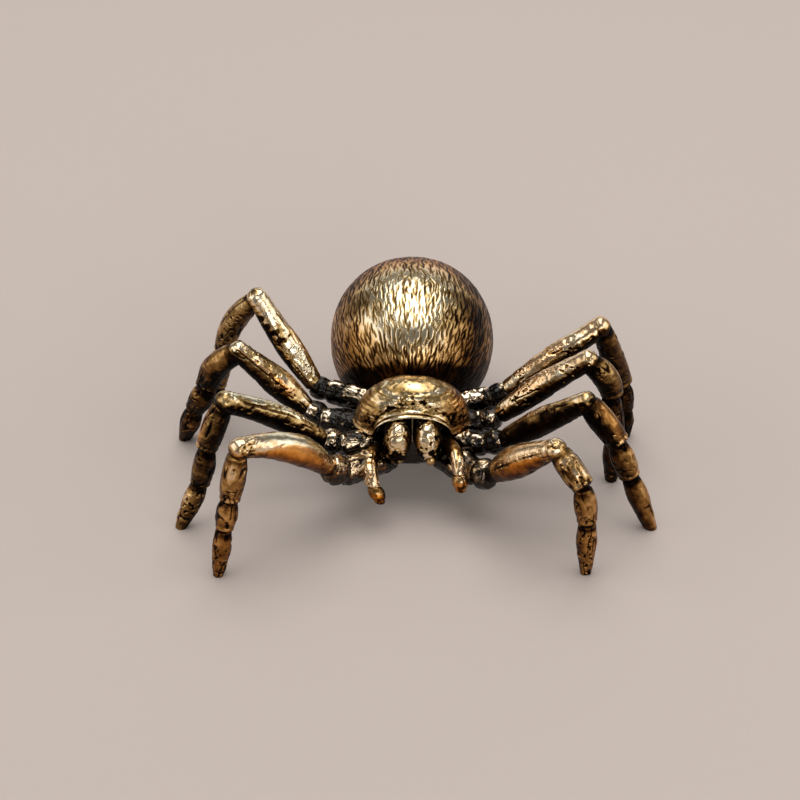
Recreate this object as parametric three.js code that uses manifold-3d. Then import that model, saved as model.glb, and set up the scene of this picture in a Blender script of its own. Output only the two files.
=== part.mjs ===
// A small brass spider, put together from separate castings that are plugged tenon in socket and brazed.
// Millimetres, +Z up. The spider looks along -Y, so its own left side is +X.
// It stands on the tips of its eight legs, and the origin is the middle of its footprint on the floor.
import * as THREE from "three";
import { mergeVertices } from "three/addons/utils/BufferGeometryUtils.js";
import Module from "manifold-3d";

const wasm = await Module();
wasm.setup();

// Fits shared by every joint
const seamGap = 0.25; // open seam between two neighbouring castings, and the room all round a tenon
const tenonRadius = 0.4; // round tenon at the inner end of a limb casting
const tenonDepth = 0.1; // how far a limb tenon runs on past the middle of its joint
const tenonRoot = 1.5; // how far a limb tenon is rooted in its own casting
const hipSink = 0.4; // how far the hip joints lie inside the core's surface

// Carapace, the domed shield over the core, open in an arch over the face
const carapaceWidth = 11.5;
const carapaceLength = 6.2;
const carapaceCrown = 4.9; // height of the dome over its rim
const carapaceMiddle = -2.2; // y of the middle of the dome
const carapaceRim = 8.0; // height of the rim over the floor
const carapaceWall = 0.8;
const carapaceSquareness = 2.2; // 2 is an ellipsoid, more is boxier
const visorWidth = 7.8; // width of the arch at the rim
const visorRise = 2.4; // height of the arch over the rim

// Body core, the block that carries the jaws and the legs, with a crown that fills the carapace
const coreWidth = 8.4;
const coreLength = 4.8;
const coreHeight = 5.4;
const coreMiddle = { y: -2.15, z: 5.9 };
const coreSquareness = 3.2;
const crownFoot = 0.4; // how far the crown is let into the block under the carapace's rim

// Abdomen, with the waist peg that plugs into the core and the nub of the spinnerets
const abdomenWidth = 16.8;
const abdomenLength = 18.2;
const abdomenHeight = 16.7;
const abdomenSquareness = 2.05;
const abdomenClearance = 0.75; // bottom of the abdomen over the floor
const waistGap = 0.3; // between the abdomen and the castings in front of it
const waistRadius = 0.8;
const waistHeight = 6.7; // height of the peg over the floor
const waistDepth = 1.5; // how far the peg reaches into the core
const spinneretRadius = 1.3;
const spinneretLength = 1.0;
const spinneretRoot = 2.6; // how far the nub is rooted in the abdomen
const spinneretShoulder = 0.7; // share of the nub's length where it starts to close
const spinneretTaper = 0.6; // share of its radius there
const spinneretTilt = 24; // degrees below level

// Jaws and their fangs
const jawSpacing = 3.15; // between the middles of the two jaws
const jawWidth = 2.8;
const jawDepth = 3.4;
const jawHeight = 4.7;
const jawSquareness = 2.2;
const jawMiddle = { y: -5.35, z: 7.6 };
const jawLean = 6; // degrees that the lower end leans forward
const jawSplay = 6; // degrees that the lower ends spread apart
const jawPegRadius = 0.6;
const jawPegDepth = 1.0; // how far the peg reaches into the core
const fangLength = 1.8;
const fangAhead = 0.4; // how far the fang sits ahead of the jaw's axis
const fangSink = 0.8; // how far its joint lies above the jaw's lower end
const fangCurl = 0.45; // how far the point turns in towards the other fang
const fangBend = 0.6; // share of its length where it turns in
const fangPegRadius = 0.3;
const fangPegRoot = 1.25; // how far the peg runs on from the joint into the fang
const fang = { start: 0.5, belly: 0.6, bellyAt: 0.45, end: 0.26, cap: 0.15, rings: [0, 0.45, 0.7, 1] };

// Feelers beside the jaws. Each has an elbow, a joint halfway down and a tip.
const palpBase = { start: 0.62, belly: 0.86, bellyAt: 0.6, end: 0.78, cap: 0.3, rings: [0, 0.35, 0.65, 1] };
const palpTip = { start: 0.65, belly: 0.84, bellyAt: 0.5, end: 0.62, cap: 0.45, rings: [0, 0.5, 1] };
const palpSpacing = 4.2; // between the points inside the core that the two feelers grow from
const palps = [
  { side: "right", elbow: [-5.0, -7.8, 6.8], joint: [-3.7, -8.9, 4.5], tip: [-3.15, -9.7, 3.1] },
  { side: "left", elbow: [4.7, -7.3, 7.8], joint: [4.7, -8.4, 5.6], tip: [4.8, -9.1, 4.1] },
];

// Limb castings of a leg, from the body outwards. Each has its stretch of the leg (0 hip, 1 thigh, 2 the
// rest), its radius at the inner end, at the belly and at the outer end, the share of its length where the
// belly lies, the length of its rounded cap past the outer joint, and the shares where its section is drawn.
const limbs = [
  {
    name: "coxa", stretch: 0, start: 0.8, belly: 1.12, bellyAt: 0.6, end: 1.0,
    cap: 0.35, rings: [0, 0.3, 0.65, 1],
  },
  {
    name: "trochanter", stretch: 0, start: 0.9, belly: 1.06, bellyAt: 0.5, end: 0.95,
    cap: 0.4, rings: [0, 0.5, 1],
  },
  {
    name: "femur", stretch: 1, start: 0.95, belly: 1.38, bellyAt: 0.4, end: 1.1,
    cap: 1.0, rings: [0, 0.2, 0.4, 0.7, 1],
  },
  {
    name: "tibia", stretch: 2, start: 0.98, belly: 1.25, bellyAt: 0.55, end: 1.1,
    cap: 0.4, rings: [0, 0.25, 0.55, 1],
  },
  {
    name: "metatarsus", stretch: 2, start: 0.85, belly: 1.14, bellyAt: 0.5, end: 0.98,
    cap: 0.4, rings: [0, 0.5, 1],
  },
  {
    name: "tarsus", stretch: 2, start: 0.8, belly: 1.02, bellyAt: 0.3, end: 0.56,
    cap: 0.4, rings: [0, 0.3, 0.65, 1],
  },
];
const trochanterLength = 1.7;
const limbSetback = 0.6; // how far past its inner joint a limb starts, in radii of its inner end

// A middling leg: how far out from its root, and how high over the floor, each of its joints stands
const thighReach = 8.4;
const thighHeight = 7.3;
const kneeReach = 17.7;
const kneeHeight = 14.3;
const ankleReach = 20.3;
const ankleHeight = 9.1;
const toeReach = 21.2;
const toeHeight = 5.1;
const footReach = 22.2;
const hipInset = 1.0; // distance of a leg's root from the middle plane

// How each leg differs from the middling one, as a spider that turns its body does. The root is [y, height]
// inside the core, and the heading is the leg's plan angle in degrees from +X. Each joint is moved by
// [further out, higher up]. The dip lowers the joint between coxa and trochanter, and the bows lift the
// middles of femur and tibia. The girths multiply the radii of the hip, the belly of the thigh and the radii
// of the rest of the leg.
const stances = [
  {
    leg: "front_right", side: -1, root: [-3.6, 4.8], heading: 216.3,
    dip: 0.7, bow: [1.4, 0], girth: [1.15, 1.12, 0.96],
    thigh: [0.3, -0.4], knee: [1.8, -0.6], ankle: [0.3, -0.4], toe: [0.2, 0.5], foot: [0.2, 0],
  },
  {
    leg: "front_left", side: 1, root: [-2.7, 4.8], heading: 319.1,
    dip: 0.3, bow: [0.3, 0], girth: [1.15, 1.22, 1.0],
    thigh: [0.3, -1.5], knee: [-0.7, -1.3], ankle: [0.0, 1.3], toe: [-0.2, 1.4], foot: [-1.1, 0],
  },
  {
    leg: "second_right", side: -1, root: [-2.9, 5.9], heading: 196.1,
    dip: 0.2, bow: [0.7, 0.1], girth: [0.95, 0.9, 1.0],
    thigh: [-0.4, 0.2], knee: [0.4, -0.1], ankle: [-0.4, 0.3], toe: [-0.4, 0.1], foot: [0.9, 0],
  },
  {
    leg: "second_left", side: 1, root: [-2.6, 5.9], heading: 343.4,
    dip: 0.2, bow: [0.1, 0.1], girth: [1.0, 1.0, 1.06],
    thigh: [-0.3, 0.0], knee: [-1.0, -0.3], ankle: [-0.4, 0.8], toe: [0.1, 1.0], foot: [1.7, 0],
  },
  {
    leg: "third_right", side: -1, root: [-2.6, 6.5], heading: 160.6,
    dip: 0.5, bow: [0.2, 0.7], girth: [1.0, 1.08, 1.08],
    thigh: [1.5, -0.3], knee: [-0.1, -1.7], ankle: [0.6, -1.5], toe: [1.4, -0.8], foot: [1.9, 0],
  },
  {
    leg: "third_left", side: 1, root: [-1.2, 6.4], heading: 358.9,
    dip: 0.2, bow: [0.3, 0.5], girth: [0.95, 0.95, 1.04],
    thigh: [-0.9, 0.5], knee: [-1.2, 0.5], ankle: [-1.5, 1.8], toe: [-1.8, 0.5], foot: [-2.9, 0],
  },
  {
    leg: "rear_right", side: -1, root: [-0.4, 7.9], heading: 154.4,
    dip: 0.0, bow: [-0.1, 0.7], girth: [0.95, 0.98, 0.94],
    thigh: [1.3, 0.5], knee: [-1.5, 2.6], ankle: [-0.1, 0.3], toe: [0.1, -0.4], foot: [-0.3, 0],
  },
  {
    leg: "rear_left", side: 1, root: [-0.4, 7.4], heading: 16.8,
    dip: 0.2, bow: [0.2, 0], girth: [0.95, 0.9, 0.96],
    thigh: [0.2, 0.9], knee: [1.2, 0.0], ankle: [1.2, -2.1], toe: [0.7, -1.4], foot: [0.0, 0],
  },
];

// Facets, and the block that cuts the feet flat on the floor
const limbSides = 8;
const tenonSides = 6;
const coreFacets = { around: 18, along: 10 };
const carapaceFacets = { around: 28, along: 12 };
const abdomenFacets = { around: 26, along: 14 };
const jawFacets = { around: 12, along: 8 };
const floorBlock = { side: 200, depth: 10 };
const halvings = 30; // steps that find where a limb leaves the core

// Finishes
const polishedBrass = new THREE.MeshStandardMaterial({ color: 0xc8a04a, roughness: 0.3, metalness: 1 });
const agedBrass = new THREE.MeshStandardMaterial({ color: 0x86652f, roughness: 0.42, metalness: 1 });
const blackenedBrass = new THREE.MeshStandardMaterial({ color: 0x3d3022, roughness: 0.5, metalness: 1 });

// A closed geometry as a solid that can be joined and cut
function toSolid(geometry) {
  const bare = new THREE.BufferGeometry();
  bare.setAttribute("position", geometry.getAttribute("position"));
  bare.setIndex(geometry.getIndex());
  const merged = mergeVertices(bare, 1e-4);
  const vertProperties = new Float32Array(merged.getAttribute("position").array);
  const triVerts = new Uint32Array(merged.getIndex().array);
  return new wasm.Manifold(new wasm.Mesh({ numProp: 3, vertProperties, triVerts }));
}

// A solid as a named mesh with its own material
function toMesh(name, solid, finish) {
  const { vertProperties, triVerts } = solid.getMesh();
  const geometry = new THREE.BufferGeometry();
  geometry.setAttribute("position", new THREE.BufferAttribute(vertProperties, 3));
  geometry.setIndex(new THREE.BufferAttribute(triVerts, 1));
  geometry.computeVertexNormals();
  const mesh = new THREE.Mesh(geometry, finish.clone());
  mesh.name = name;
  return mesh;
}

// A rounded block: a sphere whose points are pushed out to the superellipsoid of the given squareness, then
// stretched to its half width, its half length, its crown above the middle and its belly below it
function roundedBlock({ width, length, crown, belly, squareness, middle, facets }, grow = 0) {
  const geometry = new THREE.SphereGeometry(1, facets.around, facets.along);
  const position = geometry.getAttribute("position");
  const point = new THREE.Vector3();
  for (let i = 0; i < position.count; i += 1) {
    point.fromBufferAttribute(position, i);
    const powers = point.toArray().map((value) => Math.abs(value) ** squareness);
    point.multiplyScalar((powers[0] + powers[1] + powers[2]) ** (-1 / squareness));
    const height = point.z > 0 ? crown : belly;
    point.multiply(new THREE.Vector3(width / 2 + grow, length / 2 + grow, height + grow)).add(middle);
    position.setXYZ(i, point.x, point.y, point.z);
  }
  return geometry;
}

// A round bar along a curve that never runs along `across`: a ring of corners at each distance from its
// start, closed to a point at both ends
function roundBar(curve, rings, sides, across) {
  const length = curve.getLength();
  const corners = [curve.getPointAt(0)];
  for (const { at, radius } of rings) {
    const share = THREE.MathUtils.clamp(at / length, 0, 1);
    const middle = curve.getPointAt(share);
    const along = curve.getTangentAt(share);
    const up = along.clone().cross(across).normalize();
    const side = up.clone().cross(along);
    for (let k = 0; k < sides; k += 1) {
      const angle = (2 * Math.PI * k) / sides;
      const corner = middle.clone().addScaledVector(up, radius * Math.cos(angle));
      corners.push(corner.addScaledVector(side, radius * Math.sin(angle)));
    }
  }
  corners.push(curve.getPointAt(1));
  const last = corners.length - 1;
  const faces = [];
  for (let k = 0; k < sides; k += 1) {
    const next = (k + 1) % sides;
    faces.push(0, 1 + k, 1 + next);
    for (let ring = 0; ring + 1 < rings.length; ring += 1) {
      const inner = 1 + ring * sides;
      const outer = inner + sides;
      faces.push(inner + k, outer + k, inner + next);
      faces.push(inner + next, outer + k, outer + next);
    }
    faces.push(last, last - sides + next, last - sides + k);
  }
  const geometry = new THREE.BufferGeometry().setFromPoints(corners);
  geometry.setIndex(faces);
  return geometry;
}

// A plain round peg between two points
function peg(from, to, radius, across) {
  const line = new THREE.LineCurve3(from, to);
  const ends = [0, line.getLength()].map((at) => ({ at, radius }));
  return roundBar(line, ends, tenonSides, across);
}

// The sections of a limb casting: its radius eases from the inner end to the belly and on to the outer end,
// and a cap past the outer joint rounds it off
function limbRings(limb, length, grow) {
  const { start, belly, bellyAt, end } = limb;
  const cap = limb.cap + grow;
  const barrel = length - cap;
  const { lerp, smoothstep } = THREE.MathUtils;
  const rings = limb.rings.map((share) => {
    const inner = lerp(start, belly, smoothstep(share, 0, bellyAt));
    const outer = lerp(belly, end, smoothstep(share, bellyAt, 1));
    const radius = share < bellyAt ? inner : outer;
    return { at: share * barrel, radius: radius + grow };
  });
  const turn = Math.PI / 4; // the cap's own ring lies halfway round its quarter circle
  rings.push({ at: barrel + cap * Math.sin(turn), radius: (end + grow) * Math.cos(turn) });
  return rings;
}

// A limb casting with the girths of its leg, of which the thigh's own leaves its two ends as they are
function sizedLimb(limb, [hip, thigh, rest]) {
  const ends = [hip, 1, rest][limb.stretch];
  const middle = [hip, thigh, rest][limb.stretch];
  return { ...limb, start: limb.start * ends, belly: limb.belly * middle, end: limb.end * ends };
}

// The outside of a limb casting between two joints of a leg. Grown by a gap, the same shape cuts the seat
// for it in the next casting.
function limbBar(limb, from, to, bow, grow) {
  const along = to.clone().sub(from).normalize();
  const inner = from.clone().addScaledVector(along, limbSetback * limb.start - grow);
  const outer = to.clone().addScaledVector(along, limb.cap + grow);
  const lift = along.clone().cross(legAcross).multiplyScalar(2 * bow);
  const middle = inner.clone().lerp(outer, 0.5).add(lift);
  const curve = new THREE.QuadraticBezierCurve3(inner, middle, outer);
  return roundBar(curve, limbRings(limb, curve.getLength(), grow), limbSides, legAcross);
}

// The tenon of a casting, through the middle of its inner joint. Grown by a gap, it cuts the socket.
function tenon(joint, towards, across, grow = 0) {
  const along = towards.clone().sub(joint).normalize();
  const tip = joint.clone().addScaledVector(along, -tenonDepth - grow);
  const root = joint.clone().addScaledVector(along, tenonRoot);
  return peg(tip, root, tenonRadius + grow, across);
}

// Where a line from a point inside the core to one outside it leaves the core's block, less the hip's sink
function coreJoint(inside, outside) {
  const isInside = (share) => {
    const point = inside.clone().lerp(outside, share).sub(coreBlock.middle);
    const shares = [(2 * point.x) / coreWidth, (2 * point.y) / coreLength, (2 * point.z) / coreHeight];
    return shares.reduce((sum, value) => sum + Math.abs(value) ** coreSquareness, 0) < 1;
  };
  let near = 0;
  let far = 1;
  for (let step = 0; step < halvings; step += 1) {
    const half = (near + far) / 2;
    if (isInside(half)) near = half;
    else far = half;
  }
  return inside.clone().lerp(outside, near - hipSink / inside.distanceTo(outside));
}

const figure = new THREE.Group();
const legAcross = new THREE.Vector3(0, 1, 0); // the normal of the plane that a leg is drawn in
const palpAcross = new THREE.Vector3(1, 0, 0);

// Body core, before its sockets are cut: the block and, over it, the crown
const coreBlock = {
  width: coreWidth,
  length: coreLength,
  crown: coreHeight / 2,
  belly: coreHeight / 2,
  squareness: coreSquareness,
  middle: new THREE.Vector3(0, coreMiddle.y, coreMiddle.z),
  facets: coreFacets,
};
const crownInset = carapaceWall + seamGap;
const coreCrown = {
  width: carapaceWidth - 2 * crownInset,
  length: carapaceLength - 2 * crownInset,
  crown: carapaceCrown - crownInset,
  belly: crownFoot,
  squareness: carapaceSquareness,
  middle: new THREE.Vector3(0, carapaceMiddle, carapaceRim),
  facets: coreFacets,
};
let coreSolid = toSolid(roundedBlock(coreBlock)).add(toSolid(roundedBlock(coreCrown)));
const grownCore = [roundedBlock(coreBlock, seamGap), roundedBlock(coreCrown, seamGap)];

// The grown core in the frame of a group, ready to cut what is drawn there
function coreSeat(group) {
  const inverse = group.matrix.clone().invert();
  const [block, crown] = grownCore.map((geometry) => toSolid(geometry.clone().applyMatrix4(inverse)));
  return block.add(crown);
}

// Legs: each is drawn in the XZ plane of its own group and then turned to its heading
const floorBox = new THREE.BoxGeometry(floorBlock.side, floorBlock.side, floorBlock.depth);
const floor = toSolid(floorBox.translate(0, 0, -floorBlock.depth / 2));
const grownCoxae = [];

function makeLeg(stance) {
  const leg = new THREE.Group();
  const root = new THREE.Vector3(stance.side * hipInset, ...stance.root);
  leg.position.set(root.x, root.y, 0);
  leg.rotation.z = THREE.MathUtils.degToRad(stance.heading);
  leg.updateMatrix();
  leg.updateMatrixWorld();

  const jointAt = (reach, height, [out, up]) => new THREE.Vector3(reach + out, 0, height + up);
  const thigh = jointAt(thighReach, thighHeight, stance.thigh);
  const hip = leg.worldToLocal(coreJoint(root, leg.localToWorld(thigh.clone())));
  const trochanter = thigh.clone().addScaledVector(thigh.clone().sub(hip).normalize(), -trochanterLength);
  trochanter.z -= stance.dip;
  const knee = jointAt(kneeReach, kneeHeight, stance.knee);
  const ankle = jointAt(ankleReach, ankleHeight, stance.ankle);
  const toe = jointAt(toeReach, toeHeight, stance.toe);
  const foot = jointAt(footReach, 0, stance.foot);
  const joints = [hip, trochanter, thigh, knee, ankle, toe, foot];

  const socket = (i) => tenon(joints[i], joints[i + 1], legAcross, seamGap);
  coreSolid = coreSolid.subtract(toSolid(socket(0).applyMatrix4(leg.matrix)));
  let seat = coreSeat(leg);
  for (const neighbour of grownCoxae) {
    seat = seat.add(toSolid(neighbour.clone().applyMatrix4(leg.matrix.clone().invert())));
  }

  const bows = { femur: stance.bow[0], tibia: stance.bow[1] };
  limbs.forEach((middling, i) => {
    const limb = sizedLimb(middling, stance.girth);
    const bow = bows[limb.name] ?? 0;
    const ends = [joints[i], joints[i + 1]];
    let solid = toSolid(limbBar(limb, ...ends, bow, 0)).subtract(seat);
    solid = solid.add(toSolid(tenon(...ends, legAcross)));
    solid = solid.subtract(limb.name === "tarsus" ? floor : toSolid(socket(i + 1)));
    const grown = limbBar(limb, ...ends, bow, seamGap);
    if (limb.name === "coxa") grownCoxae.push(grown.clone().applyMatrix4(leg.matrix));
    seat = toSolid(grown);
    leg.add(toMesh(`${stance.leg}_${limb.name}`, solid, i < 2 ? blackenedBrass : agedBrass));
  });
  return leg;
}

for (const stance of stances) figure.add(makeLeg(stance));

// Carapace: a dome with an even wall, an arch over the face and a notch over each leg root
const dome = {
  width: carapaceWidth,
  length: carapaceLength,
  crown: carapaceCrown,
  belly: 0,
  squareness: carapaceSquareness,
  middle: new THREE.Vector3(0, carapaceMiddle, carapaceRim),
  facets: carapaceFacets,
};
const hollow = {
  ...dome,
  width: carapaceWidth - 2 * carapaceWall,
  length: carapaceLength - 2 * carapaceWall,
  crown: carapaceCrown - carapaceWall,
  belly: carapaceWall,
};
const visor = new THREE.CylinderGeometry(1, 1, carapaceLength, carapaceFacets.around);
visor.scale(visorWidth / 2, 1, visorRise);
visor.translate(0, carapaceMiddle - carapaceLength / 2, carapaceRim);
const carapaceCuts = [roundedBlock(hollow), visor, grownCore[0], ...grownCoxae];
let carapace = toSolid(roundedBlock(dome));
for (const cut of carapaceCuts) carapace = carapace.subtract(toSolid(cut));
figure.add(toMesh("carapace", carapace, polishedBrass));

// Abdomen: its front stands just behind the carapace and the core
const coreBack = coreMiddle.y + coreLength / 2;
const abdomenFront = Math.max(coreBack, carapaceMiddle + carapaceLength / 2) + waistGap;
const abdomenMiddle = new THREE.Vector3(
  0,
  abdomenFront + abdomenLength / 2,
  abdomenClearance + abdomenHeight / 2,
);
const abdomenBlock = {
  width: abdomenWidth,
  length: abdomenLength,
  crown: abdomenHeight / 2,
  belly: abdomenHeight / 2,
  squareness: abdomenSquareness,
  middle: abdomenMiddle,
  facets: abdomenFacets,
};
const pegTip = new THREE.Vector3(0, coreBack - waistDepth, waistHeight);
const pegRoot = new THREE.Vector3(0, abdomenMiddle.y, waistHeight);
const socketTip = pegTip.clone().setY(pegTip.y - seamGap);
coreSolid = coreSolid.subtract(toSolid(peg(socketTip, pegRoot, waistRadius + seamGap, palpAcross)));

const tilt = THREE.MathUtils.degToRad(spinneretTilt);
const backwards = new THREE.Vector3(0, Math.cos(tilt), -Math.sin(tilt));
const reach = 1 / Math.hypot(Math.cos(tilt) / (abdomenLength / 2), Math.sin(tilt) / (abdomenHeight / 2));
const nub = new THREE.LineCurve3(
  abdomenMiddle.clone().addScaledVector(backwards, reach - spinneretRoot),
  abdomenMiddle.clone().addScaledVector(backwards, reach + spinneretLength),
);
const nubRings = [
  { at: 0, radius: spinneretRadius },
  { at: spinneretRoot, radius: spinneretRadius },
  { at: spinneretRoot + spinneretShoulder * spinneretLength, radius: spinneretTaper * spinneretRadius },
];
let abdomen = toSolid(roundedBlock(abdomenBlock));
for (const coxa of grownCoxae) abdomen = abdomen.subtract(toSolid(coxa));
abdomen = abdomen.add(toSolid(roundBar(nub, nubRings, limbSides, palpAcross)));
abdomen = abdomen.add(toSolid(peg(pegTip, pegRoot, waistRadius, palpAcross)));
figure.add(toMesh("abdomen", abdomen, agedBrass));

// Jaws: an egg-shaped casting with a flat back and a peg, and a curved fang at its lower end
const coreFront = coreMiddle.y - coreLength / 2;
const jawBack = new THREE.BoxGeometry(2 * coreWidth, coreLength, 4 * jawHeight);
jawBack.translate(0, coreFront - seamGap + coreLength / 2, jawMiddle.z);
const grownJaws = [];
for (const [side, sign] of [["right", -1], ["left", 1]]) {
  const middle = new THREE.Vector3((sign * jawSpacing) / 2, jawMiddle.y, jawMiddle.z);
  const lean = THREE.MathUtils.degToRad(-jawLean);
  const splay = THREE.MathUtils.degToRad(-sign * jawSplay);
  const shapeJaw = (grow) => {
    const egg = {
      width: jawWidth,
      length: jawDepth,
      crown: jawHeight / 2,
      belly: jawHeight / 2,
      squareness: jawSquareness,
      middle: new THREE.Vector3(),
      facets: jawFacets,
    };
    return roundedBlock(egg, grow).rotateX(lean).rotateY(splay).translate(middle.x, middle.y, middle.z);
  };
  const pegStart = middle.clone().setY(coreFront - seamGap - jawPegRadius);
  const pegEnd = middle.clone().setY(coreFront + jawPegDepth);
  const socketEnd = pegEnd.clone().setY(pegEnd.y + seamGap);
  coreSolid = coreSolid.subtract(toSolid(peg(pegStart, socketEnd, jawPegRadius + seamGap, palpAcross)));

  const down = new THREE.Vector3(0, 0, -1).applyAxisAngle(palpAcross, lean).applyAxisAngle(legAcross, splay);
  const fangJoint = middle.clone().addScaledVector(down, jawHeight / 2 - fangSink);
  fangJoint.y -= fangAhead;
  const fangPoint = fangJoint.clone().addScaledVector(down, fangLength);
  const bend = fangJoint.clone().lerp(fangPoint, fangBend);
  fangPoint.x -= sign * fangCurl;
  const fangPeg = (grow) => {
    const top = fangJoint.clone().addScaledVector(down, -tenonDepth - grow);
    return peg(top, fangJoint.clone().addScaledVector(down, fangPegRoot), fangPegRadius + grow, legAcross);
  };
  const fangCurve = new THREE.QuadraticBezierCurve3(fangJoint, bend, fangPoint);
  const fangBar = roundBar(fangCurve, limbRings(fang, fangCurve.getLength(), 0), limbSides, legAcross);

  let jaw = toSolid(shapeJaw(0));
  for (const cut of [jawBack, ...grownCoxae]) jaw = jaw.subtract(toSolid(cut));
  jaw = jaw.add(toSolid(peg(pegStart, pegEnd, jawPegRadius, palpAcross)));
  jaw = jaw.subtract(toSolid(fangPeg(seamGap)));
  const grownJaw = shapeJaw(seamGap);
  grownJaws.push(grownJaw);
  let fangSolid = toSolid(fangBar).subtract(toSolid(grownJaw));
  fangSolid = fangSolid.add(toSolid(fangPeg(0)));
  figure.add(toMesh(`chelicera_${side}`, jaw, polishedBrass));
  figure.add(toMesh(`fang_${side}`, fangSolid, polishedBrass));
}

// Feelers: a base that bends over the elbow and a bulb at its end
const seatOnCore = coreSeat(figure);
for (const { side, elbow, joint, tip } of palps) {
  const [bend, wrist, end] = [elbow, joint, tip].map((point) => new THREE.Vector3(...point));
  const hub = new THREE.Vector3((Math.sign(bend.x) * palpSpacing) / 2, coreMiddle.y, coreMiddle.z);
  const root = coreJoint(hub, bend);
  const shapeBase = (grow) => {
    const curve = new THREE.QuadraticBezierCurve3(root, bend, wrist);
    return roundBar(curve, limbRings(palpBase, curve.getLength(), grow), limbSides, palpAcross);
  };
  const tipCurve = new THREE.LineCurve3(wrist, end);
  const tipBar = roundBar(tipCurve, limbRings(palpTip, tipCurve.getLength(), 0), limbSides, palpAcross);
  coreSolid = coreSolid.subtract(toSolid(tenon(root, bend, palpAcross, seamGap)));

  let base = toSolid(shapeBase(0)).subtract(seatOnCore);
  base = base.add(toSolid(tenon(root, bend, palpAcross)));
  for (const cut of [...grownCoxae, ...grownJaws]) base = base.subtract(toSolid(cut));
  base = base.subtract(toSolid(tenon(wrist, end, palpAcross, seamGap)));
  let bulb = toSolid(tipBar).subtract(toSolid(shapeBase(seamGap)));
  bulb = bulb.add(toSolid(tenon(wrist, end, palpAcross)));
  figure.add(toMesh(`pedipalp_${side}_base`, base, polishedBrass));
  figure.add(toMesh(`pedipalp_${side}_tip`, bulb, polishedBrass));
}

figure.add(toMesh("body_core", coreSolid, blackenedBrass));

// The origin goes to the middle of the footprint
const whole = new THREE.Group();
whole.add(figure);
const bounds = new THREE.Box3().setFromObject(whole);
const centre = bounds.getCenter(new THREE.Vector3());
figure.position.set(-centre.x, -centre.y, -bounds.min.z);

export default whole;
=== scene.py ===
import math

import bpy
import numpy as np
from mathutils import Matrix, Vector


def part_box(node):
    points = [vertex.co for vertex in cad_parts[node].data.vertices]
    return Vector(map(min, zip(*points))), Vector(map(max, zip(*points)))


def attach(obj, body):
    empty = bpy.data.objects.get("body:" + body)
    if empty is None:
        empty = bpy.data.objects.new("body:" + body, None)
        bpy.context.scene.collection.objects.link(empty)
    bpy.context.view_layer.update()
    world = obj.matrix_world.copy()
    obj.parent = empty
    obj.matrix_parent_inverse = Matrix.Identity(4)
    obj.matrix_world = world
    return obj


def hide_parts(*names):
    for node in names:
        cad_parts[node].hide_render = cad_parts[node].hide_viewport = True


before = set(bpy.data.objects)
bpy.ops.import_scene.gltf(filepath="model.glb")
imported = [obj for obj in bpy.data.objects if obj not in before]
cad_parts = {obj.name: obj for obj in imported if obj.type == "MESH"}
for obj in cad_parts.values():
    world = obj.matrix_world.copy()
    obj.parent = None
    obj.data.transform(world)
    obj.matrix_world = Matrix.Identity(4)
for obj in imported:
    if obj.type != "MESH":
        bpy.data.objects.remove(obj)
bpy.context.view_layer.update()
mm = 0.001  # shapes are worked out in millimetres and stored in metres
print("frame loaded:", len(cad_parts), "castings")


# shared shape tools

latticeCells = 48  # a noise repeats after this many cells


def smoothStep(low, high, value):
    # 0 below low, 1 above high, and the cubic 3t^2 - 2t^3 between them
    share = np.clip((value - low) / (high - low), 0, 1)
    return share * share * (3 - 2 * share)


def unit(vectors):
    # each vector over its own length
    return vectors / np.linalg.norm(vectors, axis=-1, keepdims=True)


def castNoise(points, size, seed):
    # random values on a lattice of cells of this size, blended between the eight corners, from -1 to 1
    lattice = np.random.default_rng(seed).uniform(-1, 1, (latticeCells,) * 3)
    cell = points / size
    corner = np.floor(cell).astype(int)
    part = cell - corner
    part = part * part * (3 - 2 * part)
    total = np.zeros(points.shape[:-1])
    for step in np.ndindex(2, 2, 2):
        index = (corner + step) % latticeCells
        weight = np.prod(np.where(step, part, 1 - part), axis=-1)
        total += weight * lattice[index[..., 0], index[..., 1], index[..., 2]]
    return total


def smoothLine(knots, values, at):
    # a cubic through each pair of knots, with the slope of its neighbours at both ends
    knots, values = np.asarray(knots, float), np.asarray(values, float)
    slopes = np.gradient(values, knots)
    left = np.clip(np.searchsorted(knots, at, side="right") - 1, 0, len(knots) - 2)
    span = knots[left + 1] - knots[left]
    t = np.clip((at - knots[left]) / span, 0, 1)
    rise = values[left] * (1 + 2 * t) * (1 - t) ** 2 + values[left + 1] * t * t * (3 - 2 * t)
    return rise + span * (slopes[left] * t * (1 - t) ** 2 + slopes[left + 1] * t * t * (t - 1))


def creased(field, width):
    # 1 where a noise field passes through zero, falling to 0 where it leaves plus or minus this width
    return smoothStep(width, 0.15 * width, np.abs(field))


def bell(value, width):
    # exp(-(value/width)^2), which is 1 at zero and next to nothing two widths away
    return np.exp(-((value / width) ** 2))


def pitted(points, size, seed, spread):
    # the peaks of a fine noise, let through only where a noise six times as coarse plus the spread is high
    gate = smoothStep(0, 0.4, castNoise(points, 6 * size, seed + 1) + spread)
    return smoothStep(0.3, 0.6, castNoise(points, size, seed)) * gate


def gridNormals(points):
    # the cross product of the grid's two directions, turned away from the grid's middle line
    down = np.gradient(points, axis=0)
    around = np.roll(points, -1, axis=1) - np.roll(points, 1, axis=1)
    normals = np.cross(down, around)
    normals /= np.linalg.norm(normals, axis=-1, keepdims=True) + 1e-12
    outwards = points - points.mean(1, keepdims=True)
    return normals * np.sign((normals * outwards).sum(-1).mean())


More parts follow.
